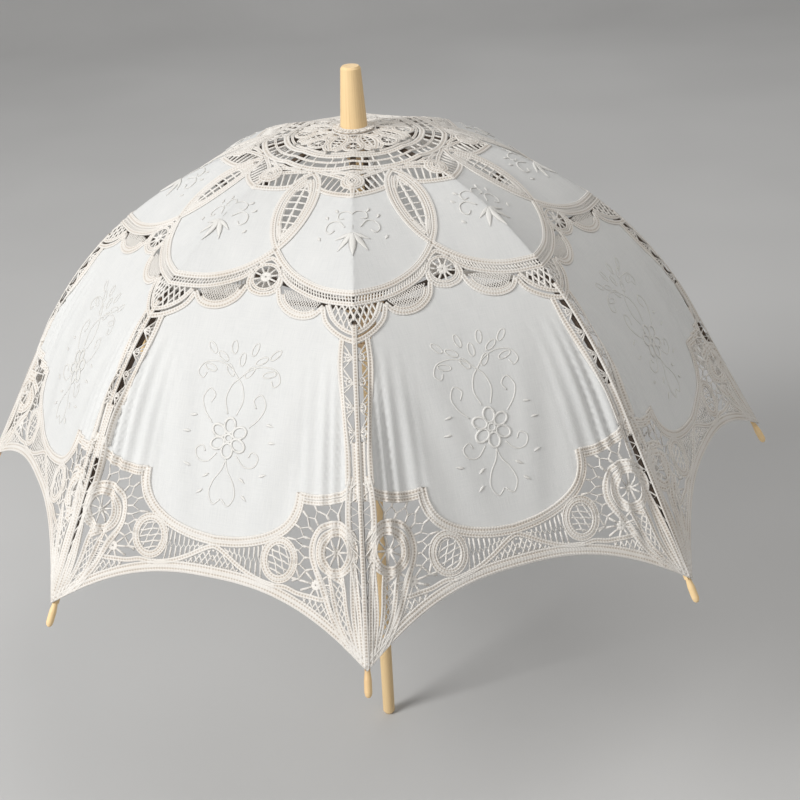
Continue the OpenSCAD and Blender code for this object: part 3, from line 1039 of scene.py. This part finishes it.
def build_cover():
    """Lays the flat cover over each rib, in strips that ride on the rib and fold with it."""
    lace_flat = flat_lace()
    cotton_flat = flat_cotton()
    for level, s_range, body in (("upper", (START, SPLIT), "rib"), ("lower", (SPLIT, PAST_HEM), "rib_end")):
        lace_part = stretch_between(lace_flat, s_range)
        cotton_part = stretch_between(cotton_flat, s_range)
        for k in range(1, RIBS + 1):
            across = (-sin(azimuth(k)), cos(azimuth(k)), 0)
            nets = strips(f"lace_{level}_{k}", sector("lace", lace_part, k, [lace, silk]), across)
            cloths = strips(f"cotton_{level}_{k}", sector("cotton", cotton_part, k, [cotton]), across)
            for piece, fold_at in nets + cloths:
                # over a rib the lower cover has no cotton
                if not len(piece.data.polygons):
                    bpy.data.objects.remove(piece)
                    continue
                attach(piece, f"{body}_{k}")
                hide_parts(f"canopy_{level}_{k}")
                if fold_at != (0, 0, 0):
                    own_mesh(piece)
            for (net_piece, _), (cloth, fold_at) in zip(nets, cloths):
                if cloth not in bpy.data.objects.values():
                    continue
                width, long, area = cut_size(cloth, fold_at == (0, 0, 0))
    lace_flat.free()
    cotton_flat.free()


def crown_lace():
    """Loops of tape sewn on the small cap under the ferrule."""
    outer = 16.6
    inner = 13.4
    loops = 16
    loops_at = 16.4
    art = Drawing()
    art.tape(oval(0, 0, outer, outer, n=72), 2.0, closed=True, smooth=False, lift=0.2)
    art.tape(oval(0, 0, inner, inner, n=64), 1.2, closed=True, smooth=False, lift=0.5)
    for k in range(loops):
        a = 2 * pi * (k + 0.5) / loops
        loop = oval(loops_at * cos(a), loops_at * sin(a), 2.9, 1.7, a, 14)
        art.cord(loop, 0.55, closed=True, smooth=False, lift=0.9)
    verts = np.vstack(art.verts)
    # the cap slopes down a little, away from the ferrule
    verts[:, 2] += APEX_Z + 1.5 - 0.1 * (np.hypot(verts[:, 0], verts[:, 1]) - 12)
    mesh = bpy.data.meshes.new("crown_lace")
    mesh.from_pydata((verts * MM).tolist(), [], art.faces)
    set_thread_uvs(mesh, np.vstack(art.uvs))
    mesh.shade_smooth()
    mesh.materials.append(lace)
    piece = add_object("crown_lace", mesh)
    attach(piece, "frame")


build_cover()
crown_lace()


def paint(node, material):
    """Gives a CAD node its material."""
    data = frame["nodes"][node].data
    data.materials.clear()
    data.materials.append(material)


for node in frame["nodes"]:
    if node.startswith("canopy"):
        continue
    if node.startswith("rib_bracket") or node in ("notch_wire", "upper_catch", "lower_catch"):
        paint(node, wire)
    elif node in ("top_notch", "runner"):
        paint(node, notch_wood)
    elif node == "crown_cap":
        paint(node, lace)
    # ribs and stretchers get the near-black wood of painted shade
    elif node.startswith(("rib_", "stretcher_")):
        paint(node, shaded_rib_wood)
    else:
        paint(node, pale_wood)


# ---------------------------------------------------------------- stage, light and camera
def floor():
    """A pale floor that curves up into a backdrop, just under the shaft's foot."""
    front = -4
    back = 3.2
    bend = 1.2
    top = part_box("shaft")[0][2] - 0.0005
    rows = [(front, top), (back, top)]
    rows += [(back + bend * sin(a), top + bend * (1 - cos(a))) for a in np.linspace(0.1, pi / 2, 16)]
    rows.append((back + bend, top + 5))
    verts = [(x, y, z) for y, z in rows for x in (-6, 6)]
    faces = [(2 * i, 2 * i + 1, 2 * i + 3, 2 * i + 2) for i in range(len(rows) - 1)]
    mesh = bpy.data.meshes.new("floor")
    mesh.from_pydata(verts, [], faces)
    mesh.shade_smooth()
    obj = add_object("floor", mesh)
    m, nodes, links, shader = new_material("floor")
    grey = noise(nodes, links, nodes.new("ShaderNodeTexCoord").outputs["Object"], 2, 2)
    links.new(ramp(nodes, links, grey, [(0.3, (0.56, 0.56, 0.56)), (0.7, (0.60, 0.60, 0.60))]),
              shader.inputs["Base Color"])
    shader.inputs["Roughness"].default_value = 0.9
    mesh.materials.append(m)


def area_light(name, at, size, power, colour=(1, 1, 1)):
    """A square soft light, turned to the middle of the cover."""
    data = bpy.data.lights.new(name, "AREA")
    data.size = size
    data.energy = power
    data.color = colour
    obj = add_object(name, data)
    obj.location = at
    middle = Vector((0, 0, APEX_Z * MM - 0.2))
    obj.rotation_euler = (middle - Vector(at)).to_track_quat("-Z", "Y").to_euler()


floor()
area_light("key", (-2.45, -1.65, 2.1), size=1.3, power=98, colour=(1, 0.995, 0.98))
area_light("fill", (0.9, -1.0, 3.2), size=1.6, power=27, colour=(1, 0.98, 0.95))
area_light("back", (0.2, 2.6, 2.4), size=2.0, power=15)
world = bpy.data.worlds.new("studio")
world.use_nodes = True
sky = world.node_tree.nodes["Background"]
sky.inputs["Color"].default_value = (1, 0.985, 0.96, 1)
sky.inputs["Strength"].default_value = 0.27
bpy.context.scene.world = world
bpy.context.scene.view_settings.view_transform = "Standard"

# The camera looks down on the cover, a little from the right of rib 1, and leans slightly.
# Its angles, its distance in metres, its lens and its shift were fitted to the photograph.
CAMERA_RISE = radians(27.44)
CAMERA_TURN = radians(2.27)
CAMERA_LEAN = radians(3.45)
CAMERA_FAR = 1.5594
AIM_BELOW_APEX = 0.3046
LENS = 69.36
SHIFT = (0.0354, 0.0266)
aim = Vector((0, 0, APEX_Z * MM - AIM_BELOW_APEX))
away = Vector((sin(CAMERA_TURN) * cos(CAMERA_RISE), -cos(CAMERA_TURN) * cos(CAMERA_RISE), sin(CAMERA_RISE)))
camera = bpy.data.cameras.new("camera")
camera.sensor_width = 36
camera.lens = LENS
camera.shift_x, camera.shift_y = SHIFT
view = add_object("camera", camera)
view.matrix_world = (Matrix.Translation(aim + away * CAMERA_FAR)
                     @ (-away).to_track_quat("-Z", "Y").to_matrix().to_4x4()
                     @ Matrix.Rotation(-CAMERA_LEAN, 4, "Z"))
bpy.context.scene.camera = view
